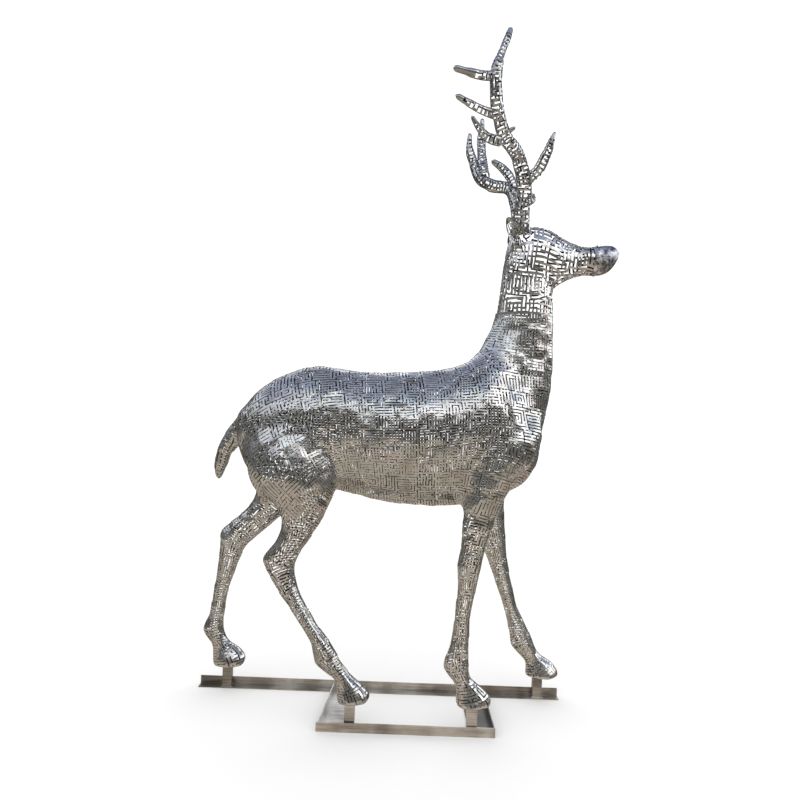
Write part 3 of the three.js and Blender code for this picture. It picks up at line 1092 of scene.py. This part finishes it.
def polished_steel(name, tints):
    """Hand-polished strip: bright, a little wavy, with faint heat tint and dull spots; the tints passed in
    set how light it is, so its lighter and darker copies are painted light and painted shade.
    """

    def looks(graph):
        place = graph.place()
        wave = graph.bump(graph.cloud(place, 26.0, 1.0), 0.4, 0.005)
        return {
            "Base Color": graph.ramp(graph.cloud(place, 26.0), tuple(zip(TINT_PLACES, tints))),
            "Roughness": graph.spread(graph.cloud(place, 60.0), to=(0.10, 0.30)),
            "Normal": graph.bump(graph.cloud(place, 120.0, 2.0), 0.25, 0.002, Normal=wave),
            "Metallic": 1.0,
        }

    return new_material(name, looks)


def painted_reflection_sheet(graph):
    """Sheet over the muzzle end: brushed, with a darker blotched base colour as painted dark reflection and
    pale spots as painted highlights.
    """
    place = graph.place()
    # Base colour from very dark to near white: painted dark reflection with painted highlight spots
    tints = (
        (0.36, (0.10, 0.10, 0.11)),
        (0.47, (0.27, 0.27, 0.30)),
        (0.56, (0.46, 0.46, 0.49)),
        (0.64, (0.88, 0.88, 0.88)),
    )
    return {
        "Base Color": graph.ramp(graph.cloud(place, 70.0, 6.0), tints),
        "Roughness": graph.spread(graph.cloud(place, 90.0), to=(0.22, 0.45)),
        "Normal": graph.bump(graph.cloud(place, 110.0, 3.0), 0.6, 0.004),
        "Metallic": 1.0,
    }


def raw_inside(graph):
    """Unpolished inner side of the strips: dark scale from welding with paler worn spots."""
    tints = ((0.35, (0.030, 0.028, 0.027)), (0.6, (0.075, 0.07, 0.065)), (0.85, (0.16, 0.15, 0.14)))
    return {
        "Base Color": graph.ramp(graph.cloud(graph.place(), 40.0), tints),
        "Roughness": 0.55,
        "Metallic": 0.6,
    }


def rail_steel(name, painted_shading):
    """Satin steel angle: drawn streaks along its length, dull patches, and painted dark reflections and
    painted shade by place along X.
    """

    def looks(graph):
        place = graph.place()
        stretched = graph.add("ShaderNodeMapping", "Vector", Vector=place, Scale=(3.0, 90.0, 90.0))
        patches = graph.cloud(place, 9.0, 6.0)
        drawn = graph.total(graph.cloud(stretched, 3.0), patches, 0.45)
        tints = ((0.46, (0.14, 0.13, 0.12)), (0.64, (0.42, 0.39, 0.36)), (0.88, (0.78, 0.76, 0.73)))
        # Painted dark reflections and painted shade, laid out by place along X
        along = graph.spread(graph.add("ShaderNodeSeparateXYZ", "X", Vector=place), RAIL_ENDS)
        return {
            "Base Color": graph.mix(1.0, graph.ramp(drawn, tints), graph.ramp(along, painted_shading), "MULTIPLY"),
            "Roughness": graph.spread(patches, to=(0.20, 0.48)),
            "Metallic": 0.9,
        }

    return new_material(name, looks)


def weld_beads(material):
    """Lumpy weld runs where the posts stand on the rails, and one across a joint in the rear rail."""
    work = bmesh.new()

    def lump(spot, sizes):
        flat = Matrix.Translation(Vector(spot)) @ Matrix.Diagonal(LUMP_SHAPE)
        bmesh.ops.create_icosphere(work, subdivisions=2, radius=rng.uniform(*sizes), matrix=flat)

    low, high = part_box("rear_rail")
    corner = high.y - RAIL_THICK
    for k in range(JOINT_LUMPS):
        share = k / (JOINT_LUMPS - 1)
        lump((RAIL_JOINT, low.y + share * (corner - low.y), RAIL_THICK), JOINT_LUMP_SIZE)
        lump((RAIL_JOINT, corner, RAIL_THICK + share * (high.z - RAIL_THICK)), JOINT_LUMP_SIZE)
    for node in POSTS:
        low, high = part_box(node)
        for y in (low.y, high.y):
            for k in range(POST_LUMPS):
                x = low.x + (high.x - low.x) * k / (POST_LUMPS - 1)
                lump((x, y, low.z + POST_LUMP_RISE), POST_LUMP_SIZE)
    mesh = bpy.data.meshes.new("weld_beads")
    work.to_mesh(mesh)
    work.free()
    mesh.shade_smooth()
    beads = bpy.data.objects.new("weld_beads", mesh)
    mesh.materials.append(material)
    bpy.context.scene.collection.objects.link(beads)
    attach(beads, "root")


def surroundings():
    """Soft studio: white behind, a bright low sky, a dark horizon and a warm ground in the reflections."""
    world = bpy.data.worlds.new("studio")
    bpy.context.scene.world = world
    world.use_nodes = True
    graph = Graph(world.node_tree)
    graph.nodes.clear()
    direction = graph.place("Generated")
    x, y, z = (graph.add("ShaderNodeSeparateXYZ", axis, Vector=direction) for axis in "XYZ")
    lower_ahead = graph.spread(x, (0.50, 0.82), (0, 0.13), "SMOOTHSTEP")
    lower_behind = graph.spread(y, (0.1, 0.5), (0, 0.05))
    level = graph.total(graph.spread(z, (-1, 1)), graph.total(lower_ahead, lower_behind))
    skies = (graph.ramp(level, GROUND + sky + ZENITH) for sky in (DIM_SKY, BRIGHT_SKY))
    sky = graph.mix(graph.spread(x, (-0.5, 0.4)), *skies)
    tinted = graph.mix(1.0, sky, graph.ramp(graph.cloud(direction, 3.2, 3.0), SKY_HUES), "MULTIPLY")
    patches = graph.spread(graph.cloud(direction, 13.0, 6.0), (0.3, 0.7), (0.55, 1.45))
    mirrored = graph.add("ShaderNodeBackground", "Background", Color=tinted, Strength=patches)
    plain = graph.add("ShaderNodeBackground", "Background", Color=(1, 1, 1, 1), Strength=STUDIO_LIGHT)
    both = graph.nodes.new("ShaderNodeMixShader")
    in_mirror = graph.add("ShaderNodeLightPath", "Is Glossy Ray")
    for k, value in enumerate((in_mirror, plain, mirrored)):
        graph.put(both, k, value)
    graph.put(graph.nodes.new("ShaderNodeOutputWorld"), "Surface", both.outputs["Shader"])


def pale_floor(_):
    return {"Base Color": (0.93, 0.93, 0.93, 1), "Roughness": 1.0, "Specular IOR Level": 0.0}


def floor():
    """Plain pale floor that the steel doesn't mirror."""
    mesh = bpy.data.meshes.new("floor")
    corners = ((-1, -1), (1, -1), (1, 1), (-1, 1))
    mesh.from_pydata([(x * FLOOR_REACH, y * FLOOR_REACH, 0) for x, y in corners], [], [(0, 1, 2, 3)])
    ground = bpy.data.objects.new("floor", mesh)
    mesh.materials.append(new_material("pale_floor", pale_floor))
    ground.visible_glossy = False
    bpy.context.scene.collection.objects.link(ground)


def camera():
    """The photo's view: level, from the near side, a little rolled."""
    view = bpy.data.objects.new("camera", bpy.data.cameras.new("camera"))
    view.data.lens = CAMERA_LENS
    view.data.sensor_width = CAMERA_SENSOR
    level = Matrix.Rotation(math.radians(90), 4, "X")
    view.matrix_world = Matrix.Translation(CAMERA_PLACE) @ level @ Matrix.Rotation(CAMERA_ROLL, 4, "Z")
    bpy.context.scene.collection.objects.link(view)
    bpy.context.scene.camera = view


steel = polished_steel("polished_steel", BODY_TINTS)
# The antlers and ears get a darker copy of the same polished steel: painted shade
antler_shaded_steel = polished_steel("antler_shaded_steel", ANTLER_SHADED_TINTS)
# The fore legs get a lighter copy of the same polished steel: painted light
fore_leg_lit_steel = polished_steel("fore_leg_lit_steel", FORE_LEG_LIT_TINTS)
scale = new_material("raw_inside", raw_inside)
# The muzzle sheet's material carries painted dark reflection and painted highlights
sheet_steel = new_material("painted_reflection_sheet", painted_reflection_sheet)
for name, piece in openwork().items():
    if name == "muzzle_end":
        outer = sheet_steel
    elif name.endswith("fore_leg"):
        outer = fore_leg_lit_steel
    else:
        outer = antler_shaded_steel if name.endswith(("antler", "ear")) else steel
    piece.data.materials.append(outer)
    piece.data.materials.append(scale)
    bpy.context.scene.collection.objects.link(piece)
    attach(piece, "root")
    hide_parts("deer")

rails = rail_steel("rail_steel", RAIL_PAINTED_REFLECTIONS)
# The cross rails' material carries painted shade and painted dark reflection on its fore part
cross_rails = rail_steel("cross_rail_steel", CROSS_PAINTED_SHADE)
for name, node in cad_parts.items():
    if name != "deer":
        node.data.materials.clear()
        node.data.materials.append(cross_rails if "cross" in name else rails)
weld_beads(rails)

surroundings()
floor()
camera()
bpy.context.scene.view_settings.view_transform = "Standard"
